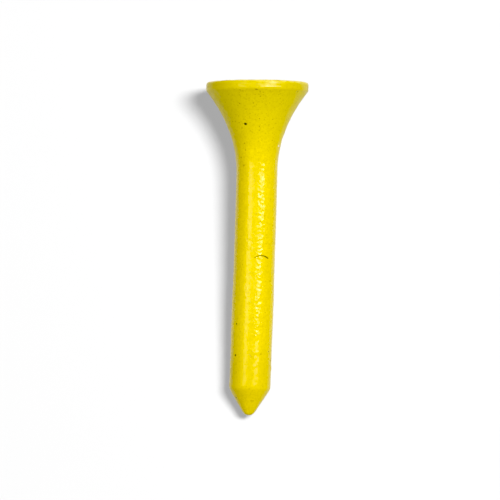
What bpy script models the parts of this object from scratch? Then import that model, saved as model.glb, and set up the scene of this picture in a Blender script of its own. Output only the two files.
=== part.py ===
"""Short wooden golf tee, turned from one piece of dowel and painted yellow.

The tee stands on its point, with +Z along its axis from the point to the cup.
The origin is the lowest spot of the rounded point. Everything is in metres.
"""

import math

import bmesh
import bpy
from mathutils import Vector

# Driving dimensions.
LENGTH = 0.0381             # one and a half inches, point to lip
HEAD_RADIUS = 0.00585
SHANK_RADIUS = 0.00235      # turned from 3/16 inch stock, which takes 4.7 mm when finished
FLARE_RADIUS = 0.0143       # radius of the hollow curve from shank to rim
RIM_HEIGHT = 0.0010         # straight band under the lip
RIM_TOP_ROUND = 0.0003      # rounding between band and lip
RIM_UNDER_ROUND = 0.0005    # rounding between flare and band
CUP_RADIUS = 0.0052         # the ball's seat, across its mouth
CUP_DEPTH = 0.0016
POINT_HALF_ANGLE = math.radians(32.0)
NOSE_RADIUS = 0.00075       # rounded end of the point
SHOULDER_ROUND = 0.0009     # rounding between point and shank

# How finely the turned shape is divided.
SIDES = 72
ARC_STEP = math.radians(6.0)
FINE_ARC_STEP = math.radians(3.0)
MERGE_DISTANCE = 1e-7
SHARP_ANGLE = math.radians(35.0)

PAINT_COLOUR = (0.80, 0.60, 0.010, 1.0)
PAINT_ROUGHNESS = 0.32


def remove_scene_objects():
    """Empty the scene of whatever the file was opened with."""
    for obj in list(bpy.data.objects):
        bpy.data.objects.remove(obj, do_unlink=True)


def arc(centre, radius, start, end, step):
    """Points (r, z) along an arc, from one angle to the other, both ends included."""
    steps = max(1, math.ceil(abs(end - start) / step))
    angles = [start + (end - start) * i / steps for i in range(steps + 1)]
    return [centre + radius * Vector((math.cos(a), math.sin(a))) for a in angles]


def cup_arc():
    """The hollow seat, a shallow part of a sphere, from its middle out to its mouth."""
    radius = (CUP_RADIUS**2 + CUP_DEPTH**2) / (2.0 * CUP_DEPTH)
    centre = Vector((0.0, LENGTH - CUP_DEPTH + radius))
    reach = math.asin(CUP_RADIUS / radius)
    down = -math.pi / 2.0
    return arc(centre, radius, down, down + reach, ARC_STEP)


def rim_top_arc():
    """Rounding from the flat lip over to the band."""
    centre = Vector((HEAD_RADIUS - RIM_TOP_ROUND, LENGTH - RIM_TOP_ROUND))
    return arc(centre, RIM_TOP_ROUND, math.pi / 2.0, 0.0, 3.0 * ARC_STEP)


def flare_geometry():
    """Centre of the flare's circle, and the centre of the rounding where it meets the band.

    The flare's circle lies outside the tee and touches the shank. The rounding touches
    the band from inside and the flare's circle from outside. A sharp corner would lie
    RIM_HEIGHT below the lip, so the flare is placed to pass through that corner.
    """
    corner = Vector((HEAD_RADIUS, LENGTH - RIM_HEIGHT))
    centre_r = SHANK_RADIUS + FLARE_RADIUS
    rise = math.sqrt(FLARE_RADIUS**2 - (centre_r - corner.x) ** 2)
    flare_centre = Vector((centre_r, corner.y - rise))
    round_r = HEAD_RADIUS - RIM_UNDER_ROUND
    reach = FLARE_RADIUS + RIM_UNDER_ROUND
    round_z = flare_centre.y + math.sqrt(reach**2 - (centre_r - round_r) ** 2)
    return flare_centre, Vector((round_r, round_z))


def under_rim_and_flare():
    """Rounding below the band, then the hollow curve down to the shank."""
    flare_centre, round_centre = flare_geometry()
    towards_round = round_centre - flare_centre
    top_angle = math.atan2(towards_round.y, towards_round.x)
    rounding = arc(round_centre, RIM_UNDER_ROUND, 0.0, top_angle - math.pi, 2.0 * ARC_STEP)
    flare = arc(flare_centre, FLARE_RADIUS, top_angle, math.pi, FINE_ARC_STEP)
    return rounding + flare[1:]


def shoulder_arc():
    """Rounding from the shank into the cone of the point."""
    apex_below_tip = NOSE_RADIUS / math.sin(POINT_HALF_ANGLE) - NOSE_RADIUS
    corner_z = SHANK_RADIUS / math.tan(POINT_HALF_ANGLE) - apex_below_tip
    setback = SHOULDER_ROUND * math.tan(POINT_HALF_ANGLE / 2.0)
    centre = Vector((SHANK_RADIUS - SHOULDER_ROUND, corner_z + setback))
    return arc(centre, SHOULDER_ROUND, 0.0, -POINT_HALF_ANGLE, ARC_STEP)


def nose_arc():
    """The rounded end of the point, from the cone to the axis."""
    centre = Vector((0.0, NOSE_RADIUS))
    down = -math.pi / 2.0
    return arc(centre, NOSE_RADIUS, -POINT_HALF_ANGLE, down, 2.0 * ARC_STEP)


def tee_outline():
    """Half section of the tee, from the middle of the cup to the point."""
    outline = cup_arc()
    outline += rim_top_arc()
    outline += under_rim_and_flare()
    outline += shoulder_arc()
    outline += nose_arc()
    return outline


def turned_mesh(name, outline):
    """Spin a half section about the Z axis into one closed skin."""
    bm = bmesh.new()
    verts = [bm.verts.new((point.x, 0.0, point.y)) for point in outline]
    edges = [bm.edges.new(pair) for pair in zip(verts, verts[1:])]
    bmesh.ops.spin(
        bm,
        geom=verts + edges,
        cent=(0.0, 0.0, 0.0),
        axis=(0.0, 0.0, 1.0),
        angle=2.0 * math.pi,
        steps=SIDES,
        use_merge=True,
    )
    bmesh.ops.remove_doubles(bm, verts=bm.verts, dist=MERGE_DISTANCE)
    bmesh.ops.recalc_face_normals(bm, faces=bm.faces)
    mesh = bpy.data.meshes.new(name)
    bm.to_mesh(mesh)
    bm.free()
    mesh.shade_smooth()
    mesh.set_sharp_from_angle(angle=SHARP_ANGLE)
    return mesh


def painted_wood():
    """Semi-gloss yellow enamel over the turned wood."""
    material = bpy.data.materials.new("painted_wood")
    material.use_nodes = True
    shader = material.node_tree.nodes["Principled BSDF"]
    shader.inputs["Base Color"].default_value = PAINT_COLOUR
    shader.inputs["Roughness"].default_value = PAINT_ROUGHNESS
    shader.inputs["Metallic"].default_value = 0.0
    return material


def make_tee_body():
    """The whole tee: cup, head, shank and point are one turned piece."""
    mesh = turned_mesh("tee_body", tee_outline())
    mesh.materials.append(painted_wood())
    body = bpy.data.objects.new("tee_body", mesh)
    bpy.context.scene.collection.objects.link(body)


remove_scene_objects()
make_tee_body()
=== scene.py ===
"""Looks of the short wooden golf tee: painted turned wood, as it lies on a white sheet.

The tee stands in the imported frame, +Z from its point to its cup. The camera looks at it
almost level, and the white sheet that its rim and its shank touch is behind it.
Lengths are in metres, unless a comment says millimetres. Angles round the tee are
counted from the side that faces the camera, and are positive to the right.
"""

import math
from collections import namedtuple

import bmesh
import bpy
import numpy as np
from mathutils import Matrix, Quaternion, Vector, noise


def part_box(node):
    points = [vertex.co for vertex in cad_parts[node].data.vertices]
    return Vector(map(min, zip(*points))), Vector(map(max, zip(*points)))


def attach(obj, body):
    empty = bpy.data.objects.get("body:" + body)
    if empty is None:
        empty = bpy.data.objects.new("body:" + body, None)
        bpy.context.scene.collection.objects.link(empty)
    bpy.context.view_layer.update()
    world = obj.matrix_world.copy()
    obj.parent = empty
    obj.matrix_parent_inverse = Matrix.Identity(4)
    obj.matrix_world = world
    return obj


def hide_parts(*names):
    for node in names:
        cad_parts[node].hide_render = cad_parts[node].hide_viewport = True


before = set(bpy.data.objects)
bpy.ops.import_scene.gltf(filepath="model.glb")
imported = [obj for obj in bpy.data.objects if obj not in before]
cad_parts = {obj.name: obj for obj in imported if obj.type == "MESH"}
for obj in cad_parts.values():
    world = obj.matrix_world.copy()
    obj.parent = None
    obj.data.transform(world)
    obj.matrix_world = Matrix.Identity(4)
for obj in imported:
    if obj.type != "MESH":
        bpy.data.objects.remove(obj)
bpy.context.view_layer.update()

MM = 0.001

# The turned shape, as in the CAD.
low_corner, high_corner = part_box("tee_body")
LENGTH = high_corner.z - low_corner.z
HEAD_RADIUS = high_corner.x
SHANK_RADIUS = 2.35 * MM
FLARE_RADIUS = 14.3 * MM
RIM_HEIGHT = 1.0 * MM
RIM_TOP_ROUND = 0.3 * MM
RIM_UNDER_ROUND = 0.5 * MM
CUP_RADIUS = 5.2 * MM
CUP_DEPTH = 1.6 * MM
POINT_HALF_ANGLE = math.radians(32.0)
NOSE_RADIUS = 0.75 * MM
SHOULDER_ROUND = 0.9 * MM

# Only the skin has this small rounding, between the cup and the lip.
CUP_EDGE_ROUND = 0.12 * MM
CUP_EDGE_OVERHANG = 0.6         # how far its middle is outside the cup's mouth, in its radii
CUP_EDGE_START = math.radians(150.0)
CUP_STOPS_SHORT = 0.02          # angle of the seat's arc that it takes away
FLOOR_MARGIN = 0.01 * MM        # what lies this much below the cup's floor still counts

# How finely the outline is divided.
CUP_SPACING = 0.14 * MM
ROUNDING_SPACING = 0.04 * MM
RIM_SPACING = 0.03 * MM
FLARE_SPACING = 0.115 * MM
SHOULDER_SPACING = 0.06 * MM
NOSE_SPACING = 0.07 * MM
STRAIGHT_SPACING = 0.095 * MM

# How finely it is turned, and how finely the skin is divided again round the marks.
SIDES = 180
FINE_CUTS = 3
FINE_AROUND_MARKS = 2.0         # in half widths of the mark
FINE_AROUND_LINES = 2.5
MERGE_DISTANCE = 1e-8

# The skin is bent a little: head and shank lie at a slight angle to each other.
BOW_HEIGHT = 26.5 * MM
BOW_LENGTH = 3.0 * MM
SHANK_TURN = 0.0097
HEAD_TURN = 0.0221

# The point is slightly off the shank's axis. The shift fades out over these heights.
POINT_SHIFT = -0.035 * MM
POINT_SHIFT_HEIGHTS = (2.25 * MM, 4.5 * MM)

# Where the skin is a little fuller than the turned shape: from one height to another,
# and by how much. All in millimetres.
SWELLS = ((-0.3, 3.4, 0.045), (8.0, 15.5, 0.030), (31.5, 37.0, 0.045))
SWELL_END = 0.25                # share of its length over which a swell comes in

# Relief of the skin: the size of its patches round and along the tee and its height, in
# millimetres, and where its noise is taken from.
Waves = namedtuple("Waves", "around along height seed")
PEEL = Waves(0.26, 0.26, 0.026, 31.0)           # orange peel in the paint
DIMPLES = Waves(1.2, 0.8, 0.016, 5.1)
UNEVEN = Waves(3.0, 5.0, 0.014, 47.0)           # slow waves in the wood
RINGS = Waves(3.0, 0.24, 0.0012, 3.7)           # fine rings from the lathe
FIBRES = Waves(0.16, 3.0, 0.0010, 71.0)         # grain of the wood under the paint
RIM_LINES = Waves(1.3, 0.20, 0.016, 13.3)       # coarser lathe lines, on the rim only
RIM_LINE_HEIGHTS = (LENGTH - 1.1 * MM, LENGTH - 0.9 * MM)
CUP_RING_PITCH = 0.32 * MM
CUP_RING_HEIGHT = 0.004 * MM
CUP_RING_WOBBLE = 2.0           # how far the slow waves shift the rings, in radians

# The orange peel is weaker towards the point, and on the two sides. It is strongest at
# one angle in front, and again on the side away from the camera. Angles in degrees.
PEEL_HEIGHTS = (4.0 * MM, 11.0 * MM)
PEEL_SHARES = (0.42, 1.12)
PEEL_ANGLE = 16.0
PEEL_FADES = (12.0, 30.0)       # how far from that angle it weakens
PEEL_RETURNS = (105.0, 125.0)   # and how far from it the peel comes back
PEEL_LOSS = 0.55                # share of it that is missing between

# Marks in the paint. Each lies at an angle round the tee and a height, and covers an
# oval of the given size. Sizes, heights and depths are in millimetres. A negative depth
# is a bump, and cover says how fully the colour hides the paint.
Mark = namedtuple("Mark", "angle height across tall depth colour cover")
BLACK = (0.010, 0.007, 0.003)
OLIVE = (0.060, 0.048, 0.004)
BROWN = (0.200, 0.110, 0.015)
GREY = (0.260, 0.250, 0.190)
# This pale colour is for one raised pale spot on the flare.
PALE_SPOT = (0.780, 0.700, 0.480)
MARKS = (
    Mark(-23.3, 33.18, 0.36, 0.26, 0.100, BLACK, 1.00),    # pinhole in the flare
    Mark(-1.2, 36.99, 0.34, 0.13, 0.015, BROWN, 0.75),     # smudge under the rim
    Mark(53.5, 36.90, 0.22, 0.14, 0.010, OLIVE, 0.40),
    Mark(-31.6, 31.00, 0.17, 0.17, 0.015, BROWN, 0.55),
    Mark(-31.0, 30.25, 0.17, 0.17, 0.015, BROWN, 0.60),
    Mark(-47.4, 29.40, 0.20, 0.17, 0.015, BROWN, 0.60),
    Mark(-39.2, 28.50, 0.20, 0.18, 0.020, BROWN, 0.75),
    Mark(67.0, 30.80, 0.36, 0.24, -0.025, PALE_SPOT, 1.00),   # pale raised spot on the flare's side
    Mark(-64.3, 21.80, 0.22, 0.17, 0.010, GREY, 0.60),
    Mark(13.5, 22.10, 0.17, 0.17, 0.010, BROWN, 0.40),
    Mark(58.5, 21.72, 0.14, 0.14, 0.020, OLIVE, 0.80),
    Mark(52.6, 15.40, 0.15, 0.14, 0.020, BROWN, 0.80),
    Mark(38.7, 11.76, 0.14, 0.14, 0.010, BROWN, 0.45),
    Mark(-48.6, 10.38, 0.20, 0.20, 0.030, OLIVE, 1.00),
    Mark(58.2, 7.35, 0.16, 0.15, 0.025, OLIVE, 0.90),
    Mark(27.9, 7.04, 0.16, 0.15, 0.010, BROWN, 0.50),
    Mark(-49.4, 6.80, 0.26, 0.24, 0.040, BLACK, 0.90),
    Mark(77.0, 6.30, 0.30, 0.36, 0.050, BROWN, 0.75),      # nick at the side
    Mark(80.0, 5.45, 0.40, 0.60, -0.045, BROWN, 0.18),     # blob of paint below it
    Mark(-61.0, 2.00, 0.24, 0.18, 0.010, OLIVE, 0.75),
    Mark(12.6, 1.68, 0.45, 0.13, 0.008, BROWN, 0.45),      # smudge on the point
    # The side away from the camera.
    Mark(118.0, 34.20, 0.20, 0.18, 0.030, OLIVE, 0.85),
    Mark(-154.0, 31.60, 0.24, 0.22, 0.050, BLACK, 0.90),
    Mark(171.0, 25.30, 0.17, 0.17, 0.015, BROWN, 0.60),
    Mark(-127.0, 19.70, 0.16, 0.22, 0.020, OLIVE, 0.75),
    Mark(139.0, 13.90, 0.20, 0.18, 0.030, OLIVE, 0.85),
    Mark(-168.0, 9.20, 0.17, 0.15, 0.015, BROWN, 0.60),
    Mark(104.0, 5.90, 0.18, 0.17, 0.020, OLIVE, 0.80),
)
MARK_EDGE = (1.2, 0.8)          # a mark comes in from outside its edge to inside it
OFF_THE_MARK = 99.0             # spread of a point that a mark can't reach

# The short curved crack in the paint of the shank, and a faint scratch lower down.
# Angles are in degrees, and the rest in millimetres.
CRACK_ANGLES = (-2.0, 43.5)
CRACK_LOW = 17.92
CRACK_RISE = 0.31
CRACK_WIDTHS = (0.075, 0.145)
CRACK_TAPERS = (6.0, 8.0)       # how quickly it opens from its two ends
CRACK_DEPTH = 0.022
CRACK_COVERS = (0.66, 1.00)     # its colour is fainter at its left end
CRACK_COVER_ALONG = (0.2, 0.7)  # and fills out between these shares of its length
SCRATCH_ANGLES = (-6.0, 1.0)
SCRATCH_TOP = 7.05
SCRATCH_DROP = 0.39
SCRATCH_WIDTH = 0.09
SCRATCH_DEPTH = 0.006
SCRATCH_COVER = 0.35

# Colours of the paint. In all that follows on the paint, heights and scales go by
# millimetres.
SHANK_YELLOW = (0.640, 0.490, 0.0)
HEAD_YELLOW = (0.578, 0.470, 0.0)
DEEP_YELLOW = (0.480, 0.370, 0.0)
# Pale yellow for the painted highlight along the lip's edge.
LIP_HIGHLIGHT_YELLOW = (0.800, 0.720, 0.180)
HEAD_TINT_HEIGHTS = (26.5, 36.5)
END_SHADE = 0.36                # deep yellow on the end of the shank
END_SHADE_STARTS = (2.6, 3.6)
END_SHADE_FADES = (5.0, 9.0)
RIM_SHADE = 0.52                # deep yellow on the rim
RIM_SHADE_HEIGHTS = (36.9, 37.2)

# Patches in the paint, made from noise. Where the noise rises from low to high, the
# patch goes from its least to its most.
Patches = namedtuple("Patches", "scale detail low high least most")
CLOUDS = Patches(0.7, 3.0, 0.35, 0.65, 0.0, 0.16)       # deep yellow, in wide patches
GRAIN = Patches(4.0, 3.0, 0.50, 0.72, 0.0, 0.13)        # deep yellow, along the wood
DUST = Patches(4.5, 4.0, 0.42, 0.72, 0.0, 0.50)         # deep yellow, in fine patches
LIP_HIGHLIGHT_PATCHES = Patches(2.2, 4.0, 0.35, 0.62, 0.05, 0.42)    # painted highlight: pale yellow in patches on the lip's edge
ROUGHNESS = Patches(1.8, 3.0, 0.30, 0.70, 0.24, 0.34)   # of the whole coat
NOISE_ROUGHNESS = 0.55          # how strong the fine parts of all this noise are
GRAIN_STRETCH = 0.08            # scale along the tee, against round it

# Specks of dirt under the paint: round dots at random places, solid up to their inner
# size and gone at their outer one. Each has a chance, which is one channel of a random
# colour, and shows when that is over the rarity. They are fainter on the shank.
Specks = namedtuple("Specks", "scale inner outer channel rarity most")
LARGE_SPECKS = Specks(2.6, 0.12, 0.26, "Red", 0.45, 0.80)
FINE_SPECKS = Specks(3.6, 0.12, 0.42, "Green", 0.15, 0.36)
SPECK_HEIGHTS = (29.0, 33.5)
SPECK_SHARES = (0.35, 1.0)      # on the shank and on the head

# Gloss of the paint.
PAINT_IOR = 1.50
FLARE_MATT = 0.12
FLARE_MATT_HEIGHTS = (28.5, 32.0)
END_MATT = 0.03
END_MATT_HEIGHTS = (3.5, 9.0)
CUP_MATT = 0.16
RIM_MATT = -0.03                # the rim is glossier than the flare
RIM_MATT_HEIGHTS = (36.8, 37.1)
MARK_MATT = 0.35
FINE_PEEL_HEIGHT = 0.0015 * MM  # the finest relief, as a bump
FINE_PEEL_SCALE = 6.0
FINE_PEEL_DETAIL = 2.0

# The cup is what lies within this distance from the axis and over this height, each
# with a soft edge.
CUP_REACH = (4.9, 5.2)
CUP_FLOOR = (36.2, 36.45)

# Lamps. Each stands at an angle round the tee and an angle over the level, in degrees.
# size is its diameter in metres, and level how bright it makes a white face turned to
# it. A lamp that fills lights the object's colour, and one that shines is mirrored in
# its gloss.
Lamp = namedtuple("Lamp", "name azimuth elevation size level fills shines")
TEE_LAMPS = (
    Lamp("key", 28.5, 14.0, 0.40, 0.98, True, False),
    Lamp("fill", -38.0, 16.0, 0.28, 0.235, True, False),
    Lamp("front", -2.0, 2.0, 0.40, 0.22, True, False),
    Lamp("top", 0.0, 80.0, 0.40, 0.14, True, True),
    Lamp("back_right", 155.0, 20.0, 0.40, 0.52, True, False),
    Lamp("back_left", -155.0, 20.0, 0.40, 0.52, True, False),
    Lamp("key_shine", 31.8, 19.0, 0.34, 0.70, False, True),
    Lamp("fill_shine", -32.5, 6.0, 0.42, 0.215, False, True),
)
SHEET_LAMP = Lamp("sheet_key", 18.2, 10.5, 0.30, 1.35, True, True)
SHEET_LAMP_TALL = 0.16          # it is an oval, less tall than wide
LAMP_DISTANCE = 0.8
WORLD_LEVEL = 0.43

# The white sheet, and the dome round everything.
SHEET_WHITE = (0.50, 0.50, 0.50)
SHEET_GLOW = 0.18
SHEET_HALF_SIZE = 0.2
SHEET_FADE = (0.060, 0.100)     # from its middle, it turns clear between these
SHOULDER_CONTACT = 3.3 * MM     # height at which the end of the shank rests on it
DOME_RADIUS = 1.2

# The yellow holds no blue in the picture: blue weaker than the first is lost, and blue
# stronger than the second is kept whole.
BLUE_LOST = 0.062
BLUE_KEPT = 0.30
BLUE_CURVE = 2                  # after red and green

# The camera.
VIEW_DISTANCE = 550.0 * MM
VIEW_WIDTH = 57.2 * MM          # what the picture's width takes in at the tee
VIEW_TARGET = Vector((-0.36, 0.0, 18.9)) * MM
VIEW_ELEVATION = -1.4
VIEW_ROLL = math.radians(1.46)
VIEW_REACH = (0.01, 10.0)       # the nearest and the farthest that it sees
SENSOR_WIDTH = 36.0


def arc(centre, radius, start, end, spacing):
    """Points (r, z) along an arc, both ends included, about one spacing apart."""
    steps = max(2, math.ceil(abs(end - start) * radius / spacing))
    angles = [start + (end - start) * i / steps for i in range(steps + 1)]
    return [centre + radius * Vector((math.cos(a), math.sin(a))) for a in angles]


def joined(sections, spacing):
    """One outline from several, with the straight runs between them divided too."""
    outline = list(sections[0])
    for section in sections[1:]:
        start = outline[-1]
        gap = section[0] - start
        steps = max(1, math.ceil(gap.length / spacing))
        outline += [start + gap * i / steps for i in range(1, steps + 1)]
        outline += section[1:]
    return outline


def cup_section():
    """The hollow seat from its middle to its mouth, and the rounding on to the lip."""
    radius = (CUP_RADIUS**2 + CUP_DEPTH**2) / (2.0 * CUP_DEPTH)
    centre = Vector((0.0, LENGTH - CUP_DEPTH + radius))
    down = -math.pi / 2.0
    reach = math.asin(CUP_RADIUS / radius) - CUP_STOPS_SHORT
    seat = arc(centre, radius, down, down + reach, CUP_SPACING)
    edge_r = CUP_RADIUS + CUP_EDGE_OVERHANG * CUP_EDGE_ROUND
    edge_centre = Vector((edge_r, LENGTH - CUP_EDGE_ROUND))
    up = math.pi / 2.0
    edge = arc(edge_centre, CUP_EDGE_ROUND, CUP_EDGE_START, up, ROUNDING_SPACING)
    return seat + edge


def rim_top_section():
    """Rounding from the lip over to the band."""
    centre = Vector((HEAD_RADIUS - RIM_TOP_ROUND, LENGTH - RIM_TOP_ROUND))
    return arc(centre, RIM_TOP_ROUND, math.pi / 2.0, 0.0, RIM_SPACING)


def flare_sections():
    """Rounding under the band, and the hollow curve down to the shank.

    The flare's circle touches the shank, and passes through the sharp corner that would
    lie RIM_HEIGHT below the lip. The rounding touches the band and the flare.
    """
    corner = Vector((HEAD_RADIUS, LENGTH - RIM_HEIGHT))
    centre_r = SHANK_RADIUS + FLARE_RADIUS
    rise = math.sqrt(FLARE_RADIUS**2 - (centre_r - corner.x) ** 2)
    flare_centre = Vector((centre_r, corner.y - rise))
    round_r = HEAD_RADIUS - RIM_UNDER_ROUND
    reach = FLARE_RADIUS + RIM_UNDER_ROUND
    round_z = flare_centre.y + math.sqrt(reach**2 - (centre_r - round_r) ** 2)
    round_centre = Vector((round_r, round_z))
    towards_round = round_centre - flare_centre
    top_angle = math.atan2(towards_round.y, towards_round.x)
    turn = top_angle - math.pi
    rounding = arc(round_centre, RIM_UNDER_ROUND, 0.0, turn, ROUNDING_SPACING)
    flare = arc(flare_centre, FLARE_RADIUS, top_angle, math.pi, FLARE_SPACING)
    return rounding + flare[1:]


def shoulder_section():
    """Rounding from the shank into the cone of the point."""
    apex_below_tip = NOSE_RADIUS / math.sin(POINT_HALF_ANGLE) - NOSE_RADIUS
    corner_z = SHANK_RADIUS / math.tan(POINT_HALF_ANGLE) - apex_below_tip
    setback = SHOULDER_ROUND * math.tan(POINT_HALF_ANGLE / 2.0)
    centre = Vector((SHANK_RADIUS - SHOULDER_ROUND, corner_z + setback))
    return arc(centre, SHOULDER_ROUND, 0.0, -POINT_HALF_ANGLE, SHOULDER_SPACING)


def nose_section():
    """The rounded end of the point."""
    centre = Vector((0.0, NOSE_RADIUS))
    return arc(centre, NOSE_RADIUS, -POINT_HALF_ANGLE, -math.pi / 2.0, NOSE_SPACING)


def tee_outline():
    """Half section from the middle of the cup to the point."""
    rim = joined([rim_top_section(), flare_sections()], RIM_SPACING)
    sections = [cup_section(), rim, shoulder_section(), nose_section()]
    return joined(sections, STRAIGHT_SPACING)


def turned_skin(outline):
    """Spin a half section about the Z axis into one closed skin."""
    bm = bmesh.new()
    verts = [bm.verts.new((point.x, 0.0, point.y)) for point in outline]
    edges = [bm.edges.new(pair) for pair in zip(verts, verts[1:])]
    bmesh.ops.spin(
        bm,
        geom=verts + edges,
        cent=(0.0, 0.0, 0.0),
        axis=(0.0, 0.0, 1.0),
        angle=2.0 * math.pi,
        steps=SIDES,
        use_merge=True,
    )
    bmesh.ops.remove_doubles(bm, verts=bm.verts, dist=MERGE_DISTANCE)
    bmesh.ops.recalc_face_normals(bm, faces=bm.faces)
    return bm


def places(points):
    """Angle round the tee, distance from its axis and height, for each point."""
    angle = np.arctan2(points[:, 0], -points[:, 1])
    return angle, np.hypot(points[:, 0], points[:, 1]), points[:, 2]


def in_cup(points):
    """True for the points in the hollow seat."""
    radius = np.hypot(points[:, 0], points[:, 1])
    above_floor = points[:, 2] > LENGTH - CUP_DEPTH - FLOOR_MARGIN
    return above_floor & (radius < CUP_RADIUS)


def fade(value, start, end):
    """0 up to start, 1 from end on, and a smooth run between. start may be the larger."""
    t = np.clip((value - start) / (end - start), 0.0, 1.0)
    return t * t * (3.0 - 2.0 * t)


def mark_spread(mark, points):
    """How far each point is from a mark's middle: 1 is on the mark's edge."""
    angle, radius, height = places(points)
    turn = angle - math.radians(mark.angle)
    turn = np.arctan2(np.sin(turn), np.cos(turn))
    across = radius * turn / (0.5 * mark.across * MM)
    tall = (height - mark.height * MM) / (0.5 * mark.tall * MM)
    spread = np.hypot(across, tall)
    spread[in_cup(points)] = OFF_THE_MARK
    return spread


def crack_spread(points):
    """The same for the curved crack, from the middle of its line, and the share along it."""
    angle, _, height = places(points)
    start, end = (math.radians(a) for a in CRACK_ANGLES)
    along = (angle - start) / (end - start)
    across = 2.0 * along - 1.0
    line = (CRACK_LOW + CRACK_RISE * (1.0 - across**2)) * MM
    slope = -4.0 * CRACK_RISE * MM * across / (SHANK_RADIUS * (end - start))
    thin, wide = CRACK_WIDTHS
    width = thin + (wide - thin) * fade(along, 0.0, 1.0)
    open_start, open_end = CRACK_TAPERS
    taper = np.clip(open_start * along, 0.0, 1.0)
    taper *= np.clip(open_end * (1.0 - along), 0.0, 1.0)
    half = 0.5 * width * MM * np.sqrt(taper)
    off_line = np.abs(height - line) / np.hypot(1.0, slope)
    is_open = taper > 0.0
    spread = np.full(len(points), OFF_THE_MARK)
    spread[is_open] = off_line[is_open] / half[is_open]
    return spread, along


def scratch_spread(points):
    """The same for the short faint scratch."""
    angle, _, height = places(points)
    start, end = (math.radians(a) for a in SCRATCH_ANGLES)
    along = (angle - start) / (end - start)
    line = (SCRATCH_TOP - SCRATCH_DROP * along) * MM
    slope = -SCRATCH_DROP * MM / (SHANK_RADIUS * (end - start))
    spread = np.abs(height - line) / np.hypot(1.0, slope) / (0.5 * SCRATCH_WIDTH * MM)
    spread[(along < 0.0) | (along > 1.0)] = OFF_THE_MARK
    return spread


def refine_marks(bm):
    """Divide the faces under and beside each mark more finely."""
    bm.faces.ensure_lookup_table()
    centres = np.array([face.calc_center_median() for face in bm.faces])
    near = crack_spread(centres)[0] < FINE_AROUND_LINES
    near |= scratch_spread(centres) < FINE_AROUND_LINES
    for mark in MARKS:
        near |= mark_spread(mark, centres) < FINE_AROUND_MARKS
    edges = {edge for i in np.flatnonzero(near) for edge in bm.faces[i].edges}
    bmesh.ops.subdivide_edges(
        bm,
        edges=sorted(edges, key=lambda edge: edge.index),
        cuts=FINE_CUTS,
        use_grid_fill=True,
    )


def rows_of_three(values, name):
    """A mesh's vertex values as rows of three numbers."""
    flat = np.zeros(3 * len(values))
    values.foreach_get(name, flat)
    return flat.reshape(-1, 3)


def noise_field(points, waves):
    """Smooth noise from -1 to 1 on the tee's skin, in patches of the waves' size."""
    scaled = points / (np.array((waves.around, waves.around, waves.along)) * MM)
    scaled[:, 2] += waves.seed
    return np.array([noise.noise(Vector(p)) for p in scaled])


def peel_share(points):
    """How strong the orange peel is at each point."""
    angle, _, height = places(points)
    low, high = PEEL_SHARES
    by_height = low + (high - low) * fade(height, *PEEL_HEIGHTS)
    turn = np.abs(np.degrees(angle) - PEEL_ANGLE)
    at_side = fade(turn, *PEEL_FADES) * (1.0 - fade(turn, *PEEL_RETURNS))
    return by_height * (1.0 - PEEL_LOSS * at_side)


def swells(height):
    """How much fuller the skin is than the turned shape."""
    total = np.zeros(len(height))
    for low, high, swell in SWELLS:
        share = (height / MM - low) / (high - low)
        comes_in = fade(share, 0.0, SWELL_END)
        goes_out = fade(share, 1.0, 1.0 - SWELL_END)
        total += swell * MM * comes_in * goes_out
    return total


def relief(points):
    """Height of the skin over the true turned shape, all but its marks."""
    _, radius, height = places(points)
    cup = in_cup(points)
    uneven = noise_field(points, UNEVEN)
    rise = swells(height)
    rise += PEEL.height * MM * peel_share(points) * noise_field(points, PEEL)
    rise += DIMPLES.height * MM * noise_field(points, DIMPLES)
    rise += UNEVEN.height * MM * uneven
    rise += FIBRES.height * MM * noise_field(points, FIBRES)

    # Adding the radius to the height carries the rings over faces that lie level.
    folded = points.copy()
    folded[:, 2] += radius
    rise += RINGS.height * MM * noise_field(folded, RINGS)

    on_rim = np.where(cup, 0.0, fade(height, *RIM_LINE_HEIGHTS))
    rise += RIM_LINES.height * MM * on_rim * noise_field(points, RIM_LINES)
    wobble = CUP_RING_WOBBLE * uneven
    tool_marks = np.sin(2.0 * math.pi * radius / CUP_RING_PITCH + wobble)
    return rise + np.where(cup, CUP_RING_HEIGHT * tool_marks, 0.0)


def mark_layers(points):
    """Every mark in turn: its spread at each point, its depth, its colour and cover."""
    for mark in MARKS:
        yield mark_spread(mark, points), mark.depth, mark.colour, mark.cover
    spread, along = crack_spread(points)
    faint, full = CRACK_COVERS
    cover = faint + (full - faint) * fade(along, *CRACK_COVER_ALONG)
    yield spread, CRACK_DEPTH, BLACK, cover
    yield scratch_spread(points), SCRATCH_DEPTH, BROWN, SCRATCH_COVER


def paint_marks(points):
    """Depth of the marks at each point, and their colour with how fully it covers."""
    depth = np.zeros(len(points))
    colour = np.zeros((len(points), 4))
    for spread, deep, tint, cover in mark_layers(points):
        inside = fade(spread, *MARK_EDGE)
        strength = inside * cover
        stronger = strength > colour[:, 3]
        colour[stronger, :3] = tint
        colour[:, 3] = np.maximum(colour[:, 3], strength)
        press = deep * MM * inside
        deeper = np.abs(press) > np.abs(depth)
        depth[deeper] = press[deeper]
    return depth, colour


def bent(points):
    """The points moved from a straight tee on to the bent one."""
    x, y, z = points.T
    over = z - BOW_HEIGHT
    ramp = 0.5 * (over + np.hypot(over, BOW_LENGTH))
    ramp_slope = 0.5 * (1.0 + over / np.hypot(over, BOW_LENGTH))
    both = SHANK_TURN + HEAD_TURN
    offset = SHANK_TURN * z - both * ramp
    offset += POINT_SHIFT * (1.0 - fade(z, *POINT_SHIFT_HEIGHTS))
    slope = SHANK_TURN - both * ramp_slope
    return np.column_stack((offset + x, y, z - x * slope))


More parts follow.
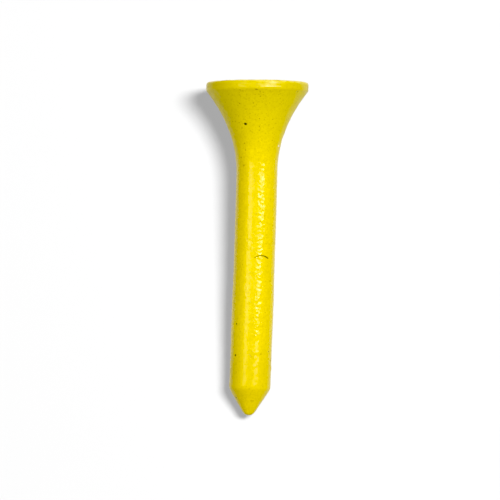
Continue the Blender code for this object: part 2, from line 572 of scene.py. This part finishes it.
def make_skin():
    """The tee's painted skin as one closed mesh."""
    bm = turned_skin(tee_outline())
    refine_marks(bm)
    mesh = bpy.data.meshes.new("tee_skin")
    bm.to_mesh(mesh)
    bm.free()
    points = rows_of_three(mesh.vertices, "co")
    normals = rows_of_three(mesh.vertex_normals, "vector")
    depth, colour = paint_marks(points)
    points = points + normals * (relief(points) - depth)[:, None]
    mesh.vertices.foreach_set("co", bent(points).ravel())
    marks = mesh.attributes.new("marks", "FLOAT_COLOR", "POINT")
    marks.data.foreach_set("color", colour.ravel())
    mesh.update()
    mesh.shade_smooth()
    skin = bpy.data.objects.new("tee_skin", mesh)
    bpy.context.scene.collection.objects.link(skin)
    return skin


class Shading:
    """A material's nodes, added and linked one at a time."""

    def __init__(self, name):
        self.material = bpy.data.materials.new(name)
        self.material.use_nodes = True
        self.tree = self.material.node_tree
        self.tree.nodes.clear()

    def add(self, kind, inputs=None, **settings):
        """A new node. An input is given a number, a colour or another node's output."""
        node = self.tree.nodes.new("ShaderNode" + kind)
        for setting, value in settings.items():
            setattr(node, setting, value)
        for socket, value in (inputs or {}).items():
            if isinstance(value, bpy.types.NodeSocket):
                self.tree.links.new(value, node.inputs[socket])
            else:
                node.inputs[socket].default_value = value
        return node

    def ramp(self, value, low, high, at_low, at_high):
        """A value carried smoothly from one range to another."""
        inputs = {"Value": value, "From Min": low, "From Max": high}
        inputs.update({"To Min": at_low, "To Max": at_high})
        node = self.add("MapRange", inputs, interpolation_type="SMOOTHSTEP")
        return node.outputs["Result"]

    def mix(self, amount, first, second):
        """Two colours mixed. The node's colours are its inputs 6 and 7."""
        node = self.add("Mix", {0: amount, 6: first, 7: second}, data_type="RGBA")
        return node.outputs[2]

    def combined(self, operation, numbers):
        """Numbers put together one after another, as in ADD or MULTIPLY."""
        result = numbers[0]
        for number in numbers[1:]:
            node = self.add("Math", {0: result, 1: number}, operation=operation)
            result = node.outputs["Value"]
        return result

    def product(self, *numbers):
        """All the numbers multiplied."""
        return self.combined("MULTIPLY", numbers)

    def total(self, *numbers):
        """All the numbers added."""
        return self.combined("ADD", numbers)

    def noise(self, place, scale, detail):
        """Noise round 0.5, with features a little under 1 / scale across."""
        inputs = {"Vector": place, "Scale": scale, "Detail": detail}
        inputs["Roughness"] = NOISE_ROUGHNESS
        return self.add("TexNoise", inputs).outputs["Fac"]

    def patches(self, place, kind):
        """How strong one kind of patch is."""
        wave = self.noise(place, kind.scale, kind.detail)
        return self.ramp(wave, kind.low, kind.high, kind.least, kind.most)

    def specks(self, place, kind):
        """How strong one kind of speck is."""
        cells = self.add("TexVoronoi", {"Vector": place, "Scale": kind.scale})
        chance = self.add("SeparateColor", {"Color": cells.outputs["Color"]})
        dot = self.ramp(cells.outputs["Distance"], kind.inner, kind.outer, 1.0, 0.0)
        kept = self.ramp(chance.outputs[kind.channel], kind.rarity, 1.0, 0.0, kind.most)
        return self.product(dot, kept)


def rgba(colour):
    """A colour with full opacity."""
    return (*colour, 1.0)


def paint_colour(s, place, height, marks):
    """Yellow, deeper in patches and on the rim, with specks, a painted highlight on the
    lip's edge and the marks.
    """
    deep = rgba(DEEP_YELLOW)

    # The yellow is a little greener on the head.
    on_head = s.ramp(height, *HEAD_TINT_HEIGHTS, 0.0, 1.0)
    colour = s.mix(on_head, rgba(SHANK_YELLOW), rgba(HEAD_YELLOW))

    colour = s.mix(s.patches(place, CLOUDS), colour, deep)
    stretched = s.add("Mapping", {"Vector": place, "Scale": (1.0, 1.0, GRAIN_STRETCH)})
    colour = s.mix(s.patches(stretched.outputs["Vector"], GRAIN), colour, deep)
    colour = s.mix(s.patches(place, DUST), colour, deep)
    end_starts = s.ramp(height, *END_SHADE_STARTS, 0.0, 1.0)
    end_fades = s.ramp(height, *END_SHADE_FADES, END_SHADE, 0.0)
    colour = s.mix(s.product(end_starts, end_fades), colour, deep)

    speck_share = s.ramp(height, *SPECK_HEIGHTS, *SPECK_SHARES)
    for kind in (LARGE_SPECKS, FINE_SPECKS):
        colour = s.mix(s.product(s.specks(place, kind), speck_share), colour, rgba(BROWN))

    colour = s.mix(s.ramp(height, *RIM_SHADE_HEIGHTS, 0.0, RIM_SHADE), colour, deep)

    # Painted highlight: the yellow is paler along the outer edge of the lip.
    at_edge = s.ramp(height, (LENGTH - RIM_TOP_ROUND) / MM, LENGTH / MM, 0.0, 1.0)
    painted_highlight = s.product(at_edge, s.patches(place, LIP_HIGHLIGHT_PATCHES))
    colour = s.mix(painted_highlight, colour, rgba(LIP_HIGHLIGHT_YELLOW))
    return s.mix(marks.outputs["Alpha"], colour, marks.outputs["Color"])


def in_cup_share(s, place, height):
    """1 in the cup and 0 elsewhere."""
    level = s.add("VectorMath", {0: place, 1: (1.0, 1.0, 0.0)}, operation="MULTIPLY")
    reach = s.add("VectorMath", {0: level.outputs["Vector"]}, operation="LENGTH")
    within_mouth = s.ramp(reach.outputs["Value"], *CUP_REACH, 1.0, 0.0)
    return s.product(within_mouth, s.ramp(height, *CUP_FLOOR, 0.0, 1.0))


def paint_roughness(s, place, height, marks):
    """Patchy gloss, more matt on the flare, in the cup and on the marks."""
    return s.total(
        s.patches(place, ROUGHNESS),
        s.ramp(height, *FLARE_MATT_HEIGHTS, 0.0, FLARE_MATT),
        s.ramp(height, *END_MATT_HEIGHTS, END_MATT, 0.0),
        s.ramp(height, *RIM_MATT_HEIGHTS, 0.0, RIM_MATT),
        s.product(in_cup_share(s, place, height), CUP_MATT),
        s.product(marks.outputs["Alpha"], MARK_MATT),
    )


def painted_wood():
    """Yellow gloss paint over turned wood."""
    s = Shading("painted_wood_finish")
    local = s.add("TexCoord").outputs["Object"]
    per_mm = 1.0 / MM
    in_mm = s.add("Mapping", {"Vector": local, "Scale": (per_mm, per_mm, per_mm)})
    place = in_mm.outputs["Vector"]
    height = s.add("SeparateXYZ", {"Vector": place}).outputs["Z"]
    marks = s.add("Attribute", attribute_name="marks")
    fine = s.noise(place, FINE_PEEL_SCALE, FINE_PEEL_DETAIL)
    bump = s.add("Bump", {"Height": fine, "Strength": 1.0, "Distance": FINE_PEEL_HEIGHT})
    inputs = {
        "Base Color": paint_colour(s, place, height, marks),
        "Roughness": paint_roughness(s, place, height, marks),
        "Normal": bump.outputs["Normal"],
        "IOR": PAINT_IOR,
    }
    paint = s.add("BsdfPrincipled", inputs)
    s.add("OutputMaterial", {"Surface": paint.outputs["BSDF"]})
    return s.material


def direction(azimuth, elevation):
    """Unit vector from the tee towards a place round it, angles in degrees."""
    a = math.radians(azimuth)
    e = math.radians(elevation)
    return Vector((math.sin(a) * math.cos(e), -math.cos(a) * math.cos(e), math.sin(e)))


def add_lamp(lamp, lit):
    """A round soft lamp that lights one object only."""
    towards = direction(lamp.azimuth, lamp.elevation)
    light = bpy.data.lights.new(lamp.name, "AREA")
    light.shape = "DISK"
    light.size = lamp.size
    light.energy = lamp.level * (math.pi * LAMP_DISTANCE) ** 2
    obj = bpy.data.objects.new(lamp.name, light)
    obj.location = Vector((0.0, 0.0, LENGTH / 2.0)) + towards * LAMP_DISTANCE
    obj.rotation_mode = "QUATERNION"
    obj.rotation_quaternion = towards.to_track_quat("Z", "Y")
    obj.visible_camera = False
    obj.visible_diffuse = lamp.fills
    obj.visible_glossy = lamp.shines
    bpy.context.scene.collection.objects.link(obj)
    receivers = bpy.data.collections.new(lamp.name + "_lights")
    receivers.objects.link(lit)
    obj.light_linking.receiver_collection = receivers
    return light


def add_lamps(skin, sheet):
    """The lamps for the tee, and the oval one for the sheet."""
    for lamp in TEE_LAMPS:
        add_lamp(lamp, skin)
    sheet_light = add_lamp(SHEET_LAMP, sheet)
    sheet_light.shape = "ELLIPSE"
    sheet_light.size_y = SHEET_LAMP_TALL


def add_world():
    """Even light from all round."""
    world = bpy.data.worlds.new("studio")
    world.use_nodes = True
    background = world.node_tree.nodes["Background"]
    background.inputs["Color"].default_value = (1.0, 1.0, 1.0, 1.0)
    background.inputs["Strength"].default_value = WORLD_LEVEL
    bpy.context.scene.world = world


def sheet_material():
    """Matt white that glows a little, clear from behind so that it hides nothing."""
    s = Shading("light_table")
    paper = s.add("BsdfDiffuse", {"Color": rgba(SHEET_WHITE)})
    glow = s.add("Emission", {"Strength": SHEET_GLOW})
    both = s.add("AddShader", {0: paper.outputs["BSDF"], 1: glow.outputs["Emission"]})
    clear = s.add("BsdfTransparent")
    back = s.add("NewGeometry").outputs["Backfacing"]
    local = s.add("TexCoord").outputs["Object"]
    reach = s.add("VectorMath", {0: local}, operation="LENGTH").outputs["Value"]
    faded = s.ramp(reach, *SHEET_FADE, 0.0, 1.0)
    hidden = s.combined("MAXIMUM", (back, faded))
    sides = s.add("MixShader", {0: hidden, 1: both.outputs[0], 2: clear.outputs[0]})
    s.add("OutputMaterial", {"Surface": sides.outputs["Shader"]})
    return s.material


def add_sheet():
    """The white sheet that the tee lies on, touching its rim and the end of its shank."""
    rim_z = LENGTH - RIM_HEIGHT
    lean = math.atan((HEAD_RADIUS - SHANK_RADIUS) / (rim_z - SHOULDER_CONTACT))
    bm = bmesh.new()
    bmesh.ops.create_grid(bm, x_segments=1, y_segments=1, size=SHEET_HALF_SIZE)
    mesh = bpy.data.meshes.new("sheet")
    bm.to_mesh(mesh)
    bm.free()
    mesh.materials.append(sheet_material())
    sheet = bpy.data.objects.new("sheet", mesh)
    sheet.rotation_euler = (math.pi / 2.0 - lean, 0.0, 0.0)
    sheet.location = (0.0, HEAD_RADIUS, rim_z)
    sheet.visible_shadow = False
    sheet.visible_diffuse = False
    bpy.context.scene.collection.objects.link(sheet)
    return sheet


def add_dome():
    """A white surround that only the camera sees."""
    bm = bmesh.new()
    bmesh.ops.create_icosphere(bm, subdivisions=4, radius=DOME_RADIUS)
    mesh = bpy.data.meshes.new("surround")
    bm.to_mesh(mesh)
    bm.free()
    s = Shading("surround_white")
    s.add("OutputMaterial", {"Surface": s.add("Emission").outputs["Emission"]})
    mesh.materials.append(s.material)
    dome = bpy.data.objects.new("surround", mesh)
    dome.visible_diffuse = False
    dome.visible_glossy = False
    dome.visible_transmission = False
    dome.visible_shadow = False
    bpy.context.scene.collection.objects.link(dome)


def add_camera():
    """A view of the whole tee from far off, so that its rim is seen almost edge on."""
    towards = direction(0.0, VIEW_ELEVATION)
    data = bpy.data.cameras.new("camera")
    data.sensor_width = SENSOR_WIDTH
    data.lens = SENSOR_WIDTH * VIEW_DISTANCE / VIEW_WIDTH
    data.clip_start, data.clip_end = VIEW_REACH
    camera = bpy.data.objects.new("camera", data)
    camera.location = VIEW_TARGET + towards * VIEW_DISTANCE
    camera.rotation_mode = "QUATERNION"
    level = towards.to_track_quat("Z", "Y")
    camera.rotation_quaternion = level @ Quaternion((0.0, 0.0, 1.0), VIEW_ROLL)
    bpy.context.scene.collection.objects.link(camera)
    bpy.context.scene.camera = camera


def drop_weak_blue():
    """Plain colours in the picture, without the weakest blue."""
    view = bpy.context.scene.view_settings
    view.view_transform = "Standard"
    view.use_curve_mapping = True
    blue = view.curve_mapping.curves[BLUE_CURVE].points
    blue.new(BLUE_LOST, 0.0).handle_type = "VECTOR"
    blue.new(BLUE_KEPT, BLUE_KEPT).handle_type = "VECTOR"
    view.curve_mapping.update()


add_camera()
add_world()
sheet = add_sheet()
add_dome()

skin = make_skin()
skin.data.materials.append(painted_wood())
skin.visible_diffuse = False    # so that it throws no yellow on the sheet
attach(skin, "root")
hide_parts("tee_body")

add_lamps(skin, sheet)
drop_weak_blue()
